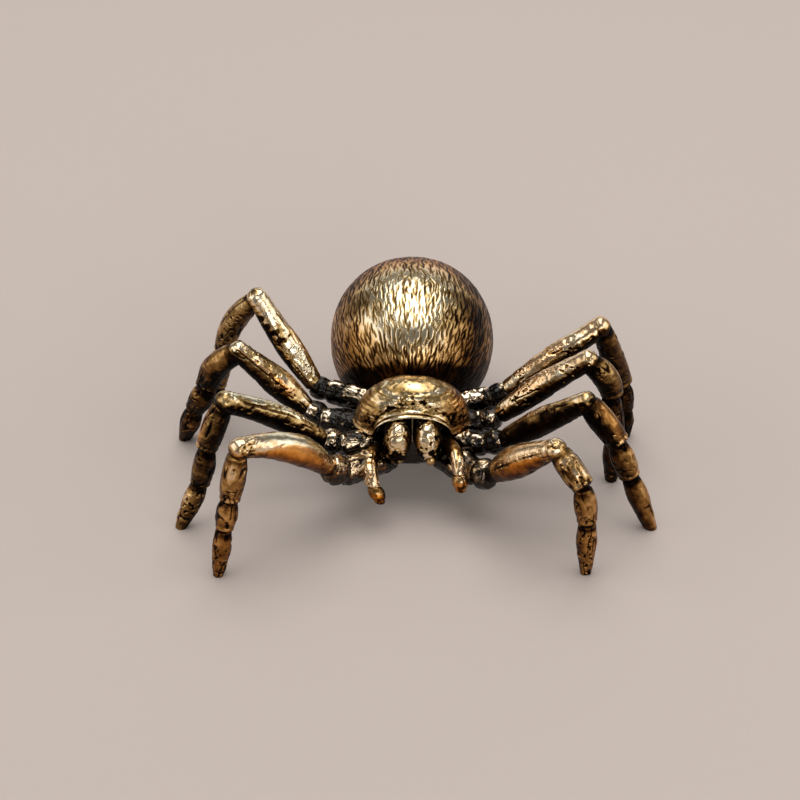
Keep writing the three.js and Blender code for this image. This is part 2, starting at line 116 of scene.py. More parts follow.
def makeCasting(node, points, fields, material):
    # a closed skin from a grid whose first and last rows are poles and whose columns close round
    columns = points.shape[1]
    corners = np.concatenate([points[:1].mean(1), points[1:-1].reshape(-1, 3), points[-1:].mean(1)])
    ring = np.arange(columns)
    after = np.roll(ring, -1)
    inner = 1 + np.arange(points.shape[0] - 3)[:, None] * columns
    outer = inner + columns
    quads = np.stack([inner + ring, inner + after, outer + after, outer + ring], -1).reshape(-1, 4)
    last = len(corners) - 1
    first = np.stack([np.zeros_like(ring), 1 + after, 1 + ring], -1)
    end = np.stack([last - columns + ring, last - columns + after, np.full_like(ring, last)], -1)
    a, b, c = (corners[quads[:, k]] - corners[0] for k in range(3))
    if (a * np.cross(b, c)).sum() < 0:  # turned inside out
        quads, first, end = quads[:, ::-1], first[:, ::-1], end[:, ::-1]
    loops = np.concatenate([quads.ravel(), first.ravel(), end.ravel()])
    sizes = np.concatenate([np.full(len(quads), 4), np.full(2 * columns, 3)])

    mesh = bpy.data.meshes.new(node + "_casting")
    mesh.vertices.add(len(corners))
    mesh.vertices.foreach_set("co", (corners * mm).astype(np.float32).ravel())
    mesh.loops.add(len(loops))
    mesh.loops.foreach_set("vertex_index", loops.astype(np.int32))
    mesh.polygons.add(len(sizes))
    mesh.polygons.foreach_set("loop_start", (np.cumsum(sizes) - sizes).astype(np.int32))
    mesh.polygons.foreach_set("use_smooth", np.ones(len(sizes), bool))
    mesh.update(calc_edges=True)
    for name, field in fields.items():
        values = np.concatenate([[field[0].mean()], field[1:-1].ravel(), [field[-1].mean()]])
        tone = mesh.attributes.new(name, "FLOAT", "POINT")
        tone.data.foreach_set("value", np.clip(values, 0, 1).astype(np.float32))
    mesh.materials.append(material)
    piece = bpy.data.objects.new(node + "_casting", mesh)
    bpy.context.scene.collection.objects.link(piece)
    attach(piece, "root")
    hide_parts(node)


def nodeCorners(node):
    # the solid's own corners, each once
    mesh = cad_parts[node].data
    corners = np.empty(len(mesh.vertices) * 3, np.float32)
    mesh.vertices.foreach_get("co", corners)
    return np.unique(np.round(corners.reshape(-1, 3) / mm, 3), axis=0)


def nodeBox(node):
    # the solid's two box corners in millimetres
    low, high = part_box(node)
    return np.array(low) / mm, np.array(high) / mm


def sphereAt(height, bearing):
    # the unit sphere's point at an angle over its equator and a bearing round it
    flat = np.cos(height)
    return np.stack(np.broadcast_arrays(flat * np.cos(bearing), flat * np.sin(bearing), np.sin(height)), -1)


def squared(sphere, power):
    # the unit sphere pushed out to |x|^n + |y|^n + |z|^n = 1
    return sphere / ((np.abs(sphere) ** power).sum(-1, keepdims=True) ** (1 / power))


def egg(half, power, rows, columns):
    # a squared sphere stretched to its half sizes, in rows from its top to its bottom
    height = np.linspace(np.pi / 2, -np.pi / 2, rows)[:, None]
    bearing = np.linspace(0, 2 * np.pi, columns, endpoint=False)[None]
    sphere = sphereAt(height, bearing)
    return squared(sphere, power) * half, unit(sphere / half)


def turned(points, lean, splay):
    # turned about X by the lean and then about Y by the splay
    cosX, sinX, cosY, sinY = math.cos(lean), math.sin(lean), math.cos(splay), math.sin(splay)
    aboutX = np.array([[1, 0, 0], [0, cosX, -sinX], [0, sinX, cosX]])
    aboutY = np.array([[cosY, 0, sinY], [0, 1, 0], [-sinY, 0, cosY]])
    return points @ (aboutY @ aboutX).T


# finishes

def linear(code):
    # an sRGB hex colour as linear light
    values = [int(code[k:k + 2], 16) / 255 for k in (1, 3, 5)]
    return [v / 12.92 if v <= 0.04045 else ((v + 0.055) / 1.055) ** 2.4 for v in values] + [1.0]


def addNode(tree, kind, settings, links):
    # a shader node with its values set, by socket or else by property, and its inputs linked
    node = tree.nodes.new(kind)
    for name, value in settings.items():
        if name in node.inputs.keys() or isinstance(name, int):
            node.inputs[name].default_value = value
        else:
            setattr(node, name, value)
    for name, output in links.items():
        tree.links.new(output, node.inputs[name])
    return node


def setRamp(ramp, stops):
    # colours at their places along a ramp
    elements = ramp.color_ramp.elements
    while len(elements) < len(stops):
        elements.new(1.0)
    for element, (place, code) in zip(elements, stops):
        element.position = place
        element.color = linear(code)


# Antique cast brass: sand-cast, dipped in a dark oxide bath and rubbed back by hand. The eye gets pale yellow metal
# on whatever stands proud, olive and brown patina beside it and near-black oxide in every hollow. The warm tint is
# the orange brown that is left where the hand rubs least.
# The patina and warmth read here also carry painted shade, painted highlights and painted warm reflections, set part
# by part below.
brassTones = [(0.0, "#f4ebcf"), (0.18, "#d6bd89"), (0.4, "#967b4a"), (0.64, "#503a20"), (0.85, "#21160c"),
              (1.0, "#0b0806")]
blackTones = [(0.0, "#f4ead6"), (0.25, "#cdbc9a"), (0.5, "#786950"), (0.75, "#2d251b"), (1.0, "#0b0806")]
warmTint = "#ffba6c"
coatRoughness = 0.07
grainDepth = 0.1
finishes = {
    "polished": {"mottle": 0.1, "mottleSize": 0.9, "grain": 0.12, "grainSize": 0.16,
                 "rough": (0.2, 0.42), "coat": 0.0, "tones": brassTones},
    "rubbed": {"mottle": 0.18, "mottleSize": 0.8, "grain": 0.14, "grainSize": 0.14,
               "rough": (0.21, 0.5), "coat": 0.0, "tones": brassTones},
    "chased": {"mottle": 0.12, "mottleSize": 1.4, "grain": 0.12, "grainSize": 0.12,
               "rough": (0.2, 0.46), "coat": 0.0, "tones": brassTones},
    "blackened": {"mottle": 0.2, "mottleSize": 0.7, "grain": 0.1, "grainSize": 0.2,
                  "rough": (0.14, 0.34), "coat": 0.5, "tones": blackTones},
}


def castBrass(name, look):
    # Patina plus a cloudy mottle picks the tone and the roughness, warmth tints it and a fine grain bumps it
    material = bpy.data.materials.new(name)
    material.use_nodes = True
    tree = material.node_tree
    shader = tree.nodes["Principled BSDF"]
    shader.inputs["Metallic"].default_value = 1.0
    shader.inputs["Coat Weight"].default_value = look["coat"]
    shader.inputs["Coat Roughness"].default_value = coatRoughness
    place = addNode(tree, "ShaderNodeTexCoord", {}, {})
    where = place.outputs["Object"]
    patina = addNode(tree, "ShaderNodeAttribute", {"attribute_name": "patina"}, {})
    warmth = addNode(tree, "ShaderNodeAttribute", {"attribute_name": "warmth"}, {})
    cloudScale = 1 / (look["mottleSize"] * mm)
    clouds = addNode(tree, "ShaderNodeTexNoise", {"Scale": cloudScale, "Detail": 4.0}, {"Vector": where})
    spread = {"From Min": 0.25, "From Max": 0.75, "To Min": -look["mottle"], "To Max": look["mottle"]}
    mottle = addNode(tree, "ShaderNodeMapRange", spread, {"Value": clouds.outputs["Fac"]})
    tone = addNode(tree, "ShaderNodeMath", {"operation": "ADD", "use_clamp": True},
                   {0: patina.outputs["Fac"], 1: mottle.outputs["Result"]})
    colour = addNode(tree, "ShaderNodeValToRGB", {}, {"Fac": tone.outputs["Value"]})
    setRamp(colour, look["tones"])
    warm = addNode(tree, "ShaderNodeMixRGB", {"blend_type": "MULTIPLY", "Color2": linear(warmTint)},
                   {"Fac": warmth.outputs["Fac"], "Color1": colour.outputs["Color"]})
    rough = addNode(tree, "ShaderNodeMapRange", {"To Min": look["rough"][0], "To Max": look["rough"][1]},
                    {"Value": tone.outputs["Value"]})
    grainScale = 1 / (look["grainSize"] * mm)
    grain = addNode(tree, "ShaderNodeTexNoise", {"Scale": grainScale, "Detail": 2.0}, {"Vector": where})
    skin = addNode(tree, "ShaderNodeBump", {"Strength": look["grain"], "Distance": grainDepth * mm},
                   {"Height": grain.outputs["Fac"]})
    tree.links.new(warm.outputs["Color"], shader.inputs["Base Color"])
    tree.links.new(rough.outputs["Result"], shader.inputs["Roughness"])
    tree.links.new(skin.outputs["Normal"], shader.inputs["Normal"])
    return material


polishedBrass = castBrass("hand polished cast brass", finishes["polished"])
rubbedBrass = castBrass("rubbed antique cast brass", finishes["rubbed"])
chasedBrass = castBrass("chased antique cast brass", finishes["chased"])
blackBrass = castBrass("blackened cast brass", finishes["blackened"])
print("finishes ready")


# legs

limbNames = ["coxa", "trochanter", "femur", "tibia", "metatarsus", "tarsus"]
# radii in millimetres at shares of the barrel, and the length of the round cap past the outer joint
limbLooks = {
    "coxa": {"knots": (0, 0.3, 0.6, 1), "radii": (1.1, 1.28, 1.36, 1.26), "belly": 1.12, "cap": 0.6, "tuck": 0.6,
             "rows": 90, "lump": 0.24, "crease": 0.07, "pit": 0.1, "pitted": 0.1, "ring": 0.0, "fold": 0.0},
    "trochanter": {"knots": (0, 0.3, 0.6, 1), "radii": (1.16, 1.3, 1.32, 1.2), "belly": 1.06, "cap": 0.6, "tuck": 0.6,
                   "rows": 70, "lump": 0.22, "crease": 0.06, "pit": 0.1, "pitted": 0.1, "ring": 0.0, "fold": 0.0},
    "femur": {"knots": (0, 0.14, 0.4, 0.7, 0.9, 1), "radii": (0.96, 1.16, 1.38, 1.24, 1.1, 1.1), "belly": 1.38,
              "cap": 1.0, "tuck": 0.45, "rows": 190, "lump": 0.08, "crease": 0.07, "pit": 0.1, "pitted": 0.0,
              "ring": 0.0, "fold": 0.07},
    "tibia": {"knots": (0, 0.2, 0.55, 0.85, 1), "radii": (1.06, 1.2, 1.25, 1.18, 1.08), "belly": 1.25, "cap": 0.4,
              "tuck": 0.4, "rows": 140, "lump": 0.08, "crease": 0.1, "pit": 0.11, "pitted": 0.05, "ring": 0.05,
              "fold": 0.0, "shade": (0.2, -0.4), "underShare": 0.6, "warmth": 0.55},
    "metatarsus": {"knots": (0, 0.2, 0.5, 0.85, 1), "radii": (0.88, 1.06, 1.14, 1.05, 0.97), "belly": 1.14,
                   "cap": 0.4, "tuck": 0.3, "rows": 110, "lump": 0.08, "crease": 0.1, "pit": 0.12,
                   "pitted": 0.25, "ring": 0.05, "fold": 0.0, "shade": (0.0, -0.6), "underShare": 0.5, "warmth": 0.75},
    "tarsus": {"knots": (0, 0.15, 0.32, 0.7, 1), "radii": (0.84, 0.96, 1.02, 0.8, 0.56), "belly": 1.02, "cap": 0.4,
               "tuck": 0.3, "rows": 110, "lump": 0.09, "crease": 0.1, "pit": 0.12, "pitted": 0.25, "ring": 0.0,
               "fold": 0.0, "shade": (0.0, -0.6), "underShare": 0.5, "warmth": 0.85},
}
# the patina of each limb from coxa to tarsus, how much painted shade darkens the underside and between which
# upward slopes it starts, how warm the metal is, and the rubbed side, lighter from real rubbing and painted light
legPaints = {
    "front_right": {"tones": (0.42, 0.42, 0.04, 0.32, 0.36, 0.36), "under": 0.3, "shade": (0.4, -0.25), "warm": 0.8,
                    "rubbed": (0.1, -0.5, 1)},
    "front_left": {"tones": (0.66, 0.6, 0.02, 0.26, 0.32, 0.34), "under": 0.3, "shade": (0.4, -0.25), "warm": 0.7,
                   "rubbed": (0.2, -0.4, 1)},
    "second_right": {"tones": (0.88, 0.84, 0.3, 0.46, 0.5, 0.36), "under": 0.6, "shade": (0.6, 0.0), "warm": 0.4,
                     "rubbed": (-0.2, 0, 1)},
    "second_left": {"tones": (0.88, 0.84, 0.56, 0.42, 0.4, 0.42), "under": 0.5, "shade": (0.6, 0.0), "warm": 0.6,
                    "rubbed": (0.5, 0, 1)},
    "third_right": {"tones": (0.86, 0.84, 0.2, 0.48, 0.56, 0.46), "under": 0.65, "shade": (0.6, 0.05), "warm": 0.5,
                    "rubbed": (0.2, -0.3, 1)},
    "third_left": {"tones": (0.86, 0.84, 0.02, 0.42, 0.54, 0.54), "under": 0.7, "shade": (0.6, 0.1), "warm": 0.5,
                   "rubbed": (0, 0, 1)},
    "rear_right": {"tones": (0.78, 0.8, -0.08, 0.14, 0.42, 0.48), "under": 0.5, "shade": (0.3, -0.3), "warm": 0.4,
                   "rubbed": (0.6, -0.3, 0.7)},
    "rear_left": {"tones": (0.8, 0.84, 0.0, 0.4, 0.48, 0.5), "under": 0.65, "shade": (0.6, 0.1), "warm": 0.6,
                  "rubbed": (-0.2, 0, 1)},
}
# Marks on single limbs: the share of the length, degrees from the back of the limb towards the front, half length
# and half width in millimetres, and what they add to patina, warmth, pits and ridge. A smooth mark takes the
# texture away. Some marks are painted light, pale painted highlights and warm painted reflections, noted at each.
limbMarks = {
    "front_right_coxa": [dict(share=0.5, turn=110, length=1.8, width=1.0, tone=0.1, warm=0.5, smooth=0.5)],
    "front_right_trochanter": [dict(share=0.5, turn=110, length=1.4, width=1.0, tone=0.1, warm=0.5, smooth=0.5)],
    "front_right_femur": [
        # painted highlight: a pale band along the top of a smooth rubbed stretch
        dict(share=0.45, turn=22, length=4.4, width=0.9, tone=-0.25, warm=-0.3, smooth=0.9, ragged=0.1),
        # painted reflection: a warm caramel patch on the front and lower side, on a smooth stretch
        dict(share=0.44, turn=100, length=4.0, width=1.3, tone=-0.08, warm=0.55, smooth=0.98, ragged=0.1),
        dict(share=0.9, turn=70, length=0.7, width=1.2, tone=0.25, pits=0.6)],
    "front_left_femur": [
        # painted highlight: a pale band along the top of a smooth rubbed stretch
        dict(share=0.55, turn=32, length=4.0, width=1.15, tone=-0.1, warm=0.15, smooth=0.85, ragged=0.12),
        # painted reflection: a warm orange patch on the lower side, on a smooth stretch
        dict(share=0.5, turn=112, length=3.6, width=1.0, tone=0.0, warm=0.6, smooth=0.95, ragged=0.15),
        dict(share=0.5, turn=74, length=3.2, width=0.14, tone=0.4, pits=1.0),
        dict(share=0.02, turn=60, length=1.2, width=2.4, tone=0.7)],
    "rear_right_femur": [
        # painted highlight: a pale knee on smoother metal
        dict(share=0.82, turn=50, length=1.6, width=1.9, tone=-0.25, smooth=0.8),
        dict(share=0.985, turn=50, length=0.5, width=0.7, tone=0.5),
        dict(share=0.76, turn=114, length=0.34, width=1.1, tone=0.8, ragged=0.8),
        dict(share=0.67, turn=98, length=0.36, width=0.7, tone=0.7, ragged=0.8),
        dict(share=0.59, turn=84, length=0.4, width=0.9, tone=0.8, ragged=0.8),
        dict(share=0.5, turn=52, length=0.34, width=0.8, tone=0.8, ragged=0.8),
        dict(share=0.3, turn=112, length=2.6, width=0.5, tone=0.5, ragged=0.7),
        dict(share=0.72, turn=5, length=2.0, width=0.12, tone=0.7),
        dict(share=0.25, turn=50, length=2.2, width=1.6, tone=-0.12, warm=-0.1, pits=0.7)],
    "third_right_femur": [
        dict(share=0.6, turn=42, length=3.2, width=0.22, tone=-0.25, warm=0.4, ridge=0.12),
        # pale smooth knee, partly a smoother finish and partly a painted highlight
        dict(share=0.95, turn=30, length=0.7, width=0.9, tone=-0.3, smooth=0.7),
        dict(share=0.3, turn=45, length=1.4, width=0.7, tone=-0.2, warm=0.3, pits=0.9)],
    "second_right_femur": [dict(share=0.5, turn=0, length=5.0, width=0.7, tone=-0.3, warm=-0.2, pits=0.6)],
    "second_left_femur": [
        dict(share=0.5, turn=0, length=4.8, width=0.55, tone=-0.4, warm=0.1, pits=0.3),
        dict(share=0.93, turn=15, length=1.2, width=1.1, tone=-0.45, smooth=0.6),
        dict(share=0.4, turn=70, length=3.4, width=1.1, tone=0.2, smooth=0.9)],
    "third_left_femur": [
        dict(share=0.45, turn=10, length=3.0, width=0.9, tone=-0.12, warm=0.3, pits=0.45),
        # pale smooth knee, partly a smoother finish and partly a painted highlight
        dict(share=0.88, turn=15, length=1.6, width=1.1, tone=-0.1, warm=0.2, smooth=0.8)],
    "rear_left_femur": [
        dict(share=0.4, turn=10, length=3.4, width=0.9, tone=-0.12, warm=0.3, pits=0.45),
        # pale smooth knee, partly a smoother finish and partly a painted highlight
        dict(share=0.88, turn=15, length=2.0, width=1.1, tone=-0.1, warm=0.2, smooth=0.8)],
    "front_right_tibia": [dict(share=0.25, turn=40, length=1.2, width=0.4, tone=-0.2)],
    # painted highlight: a pale smooth streak along the outer top edge
    "front_left_tibia": [dict(share=0.5, turn=-30, length=2.0, width=0.5, tone=-0.25, smooth=0.8)],
    "second_left_tibia": [
        dict(share=0.45, turn=10, length=2.6, width=1.0, tone=0.08, warm=0.3, smooth=0.8),
        dict(share=0.4, turn=95, length=2.8, width=1.0, tone=0.36)],
    # painted highlight: a pale warm streak along the outer edge
    "second_right_tibia": [dict(share=0.5, turn=0, length=2.4, width=0.6, tone=-0.2, warm=0.4)],
    "third_right_tibia": [dict(share=0.3, turn=40, length=1.8, width=1.8, tone=-0.1, warm=0.15)],
}
limbSides = 104
plugDepth = 0.1  # a plug's tip lies this far past its joint
setback = 0.55  # a limb's barrel starts this far from its inner joint
# the texture that every limb has, in millimetres and shares
limbGrain = {"lumpSizes": (1.3, 0.5), "lumpShares": (0.65, 0.35), "streakSize": 0.55, "streakStretch": 0.24,
             "creaseWidth": 0.2, "creasePatches": 1.2, "pitSize": 0.26, "markPitSize": 0.22, "gritSize": 0.22,
             "gritHeight": 0.015, "foldSize": 0.4, "foldWidth": 0.4, "blotchSize": 0.9, "markEdge": 0.4}
# what each kind of texture adds to the patina; the unrubbed side's share is partly wear and partly painted shade
limbStainsAndShade = {"unrubbedAndShaded": 0.3, "crease": 0.5, "pit": 0.5, "seam": 0.4, "blotch": 0.14, "fold": 0.2}


def legPath(leg):
    # Joints from the solids: the corners furthest back along a limb are the tip of its plug, just past the joint.
    # A leg lies in one upright plane, and the corners widest across it lie on the limb's own axis.
    clouds = [nodeCorners(f"{leg}_{limb}") for limb in limbNames]
    foot = clouds[5][clouds[5][:, 2] < 0.01]
    joints = [cloud.mean(0) for cloud in clouds] + [(foot.min(0) + foot.max(0)) / 2]
    for near in (0.5, 0.3, 0.2, 0.1, 0.06):
        for index, cloud in enumerate(clouds):
            direction = unit(joints[index + 1] - joints[index])
            reach = cloud @ direction
            joints[index] = cloud[reach < reach.min() + near].mean(0) + plugDepth * direction
    across = unit(np.cross((0, 0, 1), joints[6] - joints[1]))
    radii, bows = [], []
    for index, cloud in enumerate(clouds):
        width = np.abs((cloud - joints[index]) @ across)
        radii.append(width.max())
        direction = unit(joints[index + 1] - joints[index])
        axis = cloud[width > 0.8 * width.max()] - joints[index]
        share = (axis @ direction - setback) / (np.linalg.norm(joints[index + 1] - joints[index]) - setback)
        hump = 4 * share * (1 - share)
        offset = axis @ np.cross(direction, across)
        bows.append((offset * hump).sum() / (hump * hump).sum() if index in (2, 3) else 0.0)
    return joints, radii, bows, across


def limbSkin(start, bend, end, radius, across, look, tone, paint, marks, seed):
    # A bar along B(t) = (1-t)^2 P0 + 2t(1-t) P1 + t^2 P2, whose radius runs through the look's knots and closes
    # with an elliptic cap at each end. Lumps, wavy creases, pits, knee folds and a ring are added to the radius.
    fine = np.linspace(-0.2, 1, 400)[:, None]
    line = (1 - fine) ** 2 * start + 2 * fine * (1 - fine) * bend + fine ** 2 * end
    walked = np.concatenate([[0], np.linalg.norm(np.diff(line, axis=0), axis=1).cumsum()])
    walked = walked - np.interp(0, fine[:, 0], walked)
    length = walked[-1]
    share = np.linspace(0, 1, look["rows"])
    share = 0.55 * share + 0.45 * (0.5 - 0.5 * np.cos(np.pi * share))
    along = -look["tuck"] + share * (length + look["tuck"])
    t = np.interp(along, walked, fine[:, 0])[:, None]
    along = along[:, None]
    centre = (1 - t) ** 2 * start + 2 * t * (1 - t) * bend + t ** 2 * end
    dorsal = unit(np.cross(unit((1 - t) * (bend - start) + t * (end - bend)), across))
    barrel = length - look["cap"]
    place = np.clip(along / barrel, 0, 1)
    hump = np.sin(np.pi * place ** 0.75) ** 2 if look["fold"] else 1.0
    profile = smoothLine(look["knots"], look["radii"], place) * (1 + (radius / look["belly"] - 1) * hump)
    innerRound = np.clip(-along / look["tuck"], 0, 1)
    outerRound = np.clip((along - barrel) / look["cap"], 0, 1)
    profile = profile * np.sqrt(1 - innerRound ** 2) * np.sqrt(1 - outerRound ** 2)
    angle = np.linspace(0, 2 * np.pi, limbSides, endpoint=False)[None]
    radial = np.cos(angle)[..., None] * dorsal[:, None] + np.sin(angle)[..., None] * across
    plain = centre[:, None] + profile[..., None] * radial

    straight = np.stack(np.broadcast_arrays(along, profile * np.cos(angle), profile * np.sin(angle)), -1)
    grain = limbGrain
    coarse, fineLump = (castNoise(plain, size, seed + k) for k, size in enumerate(grain["lumpSizes"]))
    lumps = grain["lumpShares"][0] * coarse + grain["lumpShares"][1] * fineLump
    streaks = castNoise(straight * (grain["streakStretch"], 1, 1), grain["streakSize"], seed + 2)
    front = -np.sign(across[1]) * ((angle + np.pi) % (2 * np.pi) - np.pi)
    spots, calm, extraPits, ridge = [], 1.0, 0.0, 0.0
    for mark in marks:
        turn = (front - math.radians(mark["turn"])) * radius / mark["width"]
        apart = np.hypot((along - mark["share"] * length) / mark["length"], turn)
        frayed = mark.get("ragged", 0.25) * castNoise(plain, grain["markEdge"], seed + 8)
        spot = smoothStep(1.15, 0.85, apart + frayed)
        spots.append(spot)
        calm = calm * (1 - mark.get("smooth", 0) * spot)
        extraPits = np.maximum(extraPits, mark.get("pits", 0) * spot)
        ridge = ridge + mark.get("ridge", 0) * spot
    patches = smoothStep(-0.2, 0.3, castNoise(plain, grain["creasePatches"], seed + 3))
    creases = calm * creased(streaks, grain["creaseWidth"]) * patches
    pits = calm * pitted(plain, grain["pitSize"], seed + 4, look["pitted"])
    pits = np.maximum(pits, extraPits * pitted(plain, grain["markPitSize"], seed + 9, 0.5))
    grit = calm * castNoise(plain, grain["gritSize"], seed + 5)
    folds = castNoise(straight * (1, grain["foldWidth"], grain["foldWidth"]), grain["foldSize"], seed + 6)
    folds = folds * smoothStep(0.72, 0.95, along / length)
    ring = bell(along - barrel, 0.16) - 0.6 * bell(along - barrel + 0.35, 0.14)
    rise = look["lump"] * lumps * (0.4 + 0.6 * calm) - look["crease"] * creases - look["pit"] * pits
    rise = rise + grain["gritHeight"] * grit + look["ring"] * ring + look["fold"] * folds + ridge
    rise = rise * np.clip(1.6 * profile / radius, 0, 1)
    points = plain + rise[..., None] * radial
    points[..., 2] = np.maximum(points[..., 2], 0.0)

    normals = gridNormals(points)
    blotch = castNoise(plain, grain["blotchSize"], seed + 7)
    # lighter on the rubbed side: partly real rubbing, partly painted light on the side that faces the lamps
    rubbedAndLit = smoothStep(-0.2, 0.65, normals @ unit(np.array(paint["rubbed"], float)) + 0.15 * blotch)
    # painted shade: the underside goes darker by the under amount, between the shade slopes
    paintedUnderShade = smoothStep(*look.get("shade", paint["shade"]), normals[..., 2] + 0.1 * blotch)
    paintedUnderShade = paintedUnderShade * look.get("underShare", 1.0)
    seams = bell(np.clip(along - 0.1, 0, None), 0.35) + 0.5 * bell(along - length, 0.25)
    glints = smoothStep(-0.05, 0.22, lumps + 0.25 * grit) * smoothStep(0.1, 0.6, normals[..., 2])
    stainsAndShade = limbStainsAndShade
    patina = tone + stainsAndShade["unrubbedAndShaded"] * (1 - rubbedAndLit) + paint["under"] * paintedUnderShade + stainsAndShade["crease"] * creases
    patina = patina + stainsAndShade["pit"] * pits + stainsAndShade["seam"] * seams + stainsAndShade["blotch"] * blotch
    patina = patina - (0.2 + 0.6 * smoothStep(0.5, 0.8, tone)) * glints - stainsAndShade["fold"] * np.clip(folds, 0, 1)
    warmShare = look.get("warmth", 0.4)
    warmth = paint["warm"] * (warmShare + (1 - warmShare) * paintedUnderShade) * np.ones_like(patina)
    for mark, spot in zip(marks, spots):
        patina, warmth = patina + mark.get("tone", 0) * spot, warmth + mark.get("warm", 0) * spot
    return points, {"patina": patina, "warmth": warmth}


def makeLegs():
    # each limb bows out to the bend P1, which lies twice the solid's own bow off the middle of its chord
    for number, (leg, paint) in enumerate(legPaints.items()):
        joints, radii, bows, across = legPath(leg)
        for index, limb in enumerate(limbNames):
            look = limbLooks[limb]
            direction = unit(joints[index + 1] - joints[index])
            start, end = joints[index] + setback * direction, joints[index + 1] + look["cap"] * direction
            bend = (start + end) / 2 + 2 * bows[index] * np.cross(direction, across)
            marks = limbMarks.get(f"{leg}_{limb}", [])
            points, fields = limbSkin(start, bend, end, radii[index], across, look, paint["tones"][index], paint,
                                      marks, 100 * number + 10 * index)
            makeCasting(f"{leg}_{limb}", points, fields, blackBrass if index < 2 else rubbedBrass)


makeLegs()
print("legs made")


# abdomen

abdomenLook = {"squareness": 2.05, "length": 18.2, "rows": 138, "columns": 720, "poleTilt": 20, "rowStep": 0.75,
               "strokeStep": 0.5, "strokeLength": 0.58, "strokeWidth": 0.085, "depth": 0.07, "lump": 0.045, "seed": 7,
               "tailDrop": 24, "nubRise": 0.75, "nubMoat": 0.2}


def chasedHair(latitude, longitude, size, look):
    # Short chisel cuts along the meridians, in staggered rows from pole to pole. A cut is
    # exp(-(across/width)^4) times (1 - (along/length)^4), turned and bent a little, and the deepest cut counts.
    rng = np.random.default_rng(look["seed"])
    rowAngles = np.arange(0.2, np.pi - 0.12, look["rowStep"] / size)
    counts = np.maximum(6, (2 * np.pi * size * np.sin(rowAngles) / look["strokeStep"]).astype(int))
    starts = np.repeat(rowAngles, counts)
    turns = np.concatenate([(np.arange(n) + rng.uniform(0, 1)) * 2 * np.pi / n for n in counts])
    amount = len(starts)
    starts = starts + rng.normal(0, 0.35, amount) * look["rowStep"] / size
    turns = turns + rng.normal(0, 0.25, amount) * look["strokeStep"] / (size * np.sin(np.clip(starts, 0.15, 3.0)))
    tilt = rng.normal(0, 0.2, amount)
    curve = rng.normal(0, 0.25, amount)
    phase = rng.uniform(0, 2 * np.pi, amount)
    reach = look["strokeLength"] * rng.uniform(0.7, 1.6, amount)
    width = look["strokeWidth"] * rng.uniform(0.75, 1.4, amount)
    deep = rng.uniform(0.45, 1.0, amount)
    rowGap = latitude[1] - latitude[0]
    columnGap = longitude[1] - longitude[0]
    row = np.round((starts - latitude[0]) / rowGap).astype(int)[:, None, None] + np.arange(-6, 7)[None, :, None]
    column = np.round(turns / columnGap).astype(int)[:, None, None] + np.arange(-20, 21)[None, None, :]
    row = np.clip(row, 0, len(latitude) - 1)
    theta = latitude[row]
    along = size * (theta - starts[:, None, None])
    across = size * np.sin(theta) * (column * columnGap - turns[:, None, None])
    along, across = along + tilt[:, None, None] * across, across - tilt[:, None, None] * along
    across = across - curve[:, None, None] * along ** 2 - 0.05 * np.sin(5 * along + phase[:, None, None])
    body = np.clip(1 - (along / reach[:, None, None]) ** 4, 0, 1)
    cut = deep[:, None, None] * body * np.exp(-((across / width[:, None, None]) ** 4))
    field = np.zeros((len(latitude), len(longitude)))
    column = np.broadcast_to(column % len(longitude), cut.shape)
    np.maximum.at(field, (np.broadcast_to(row, cut.shape), column), cut)
    return field


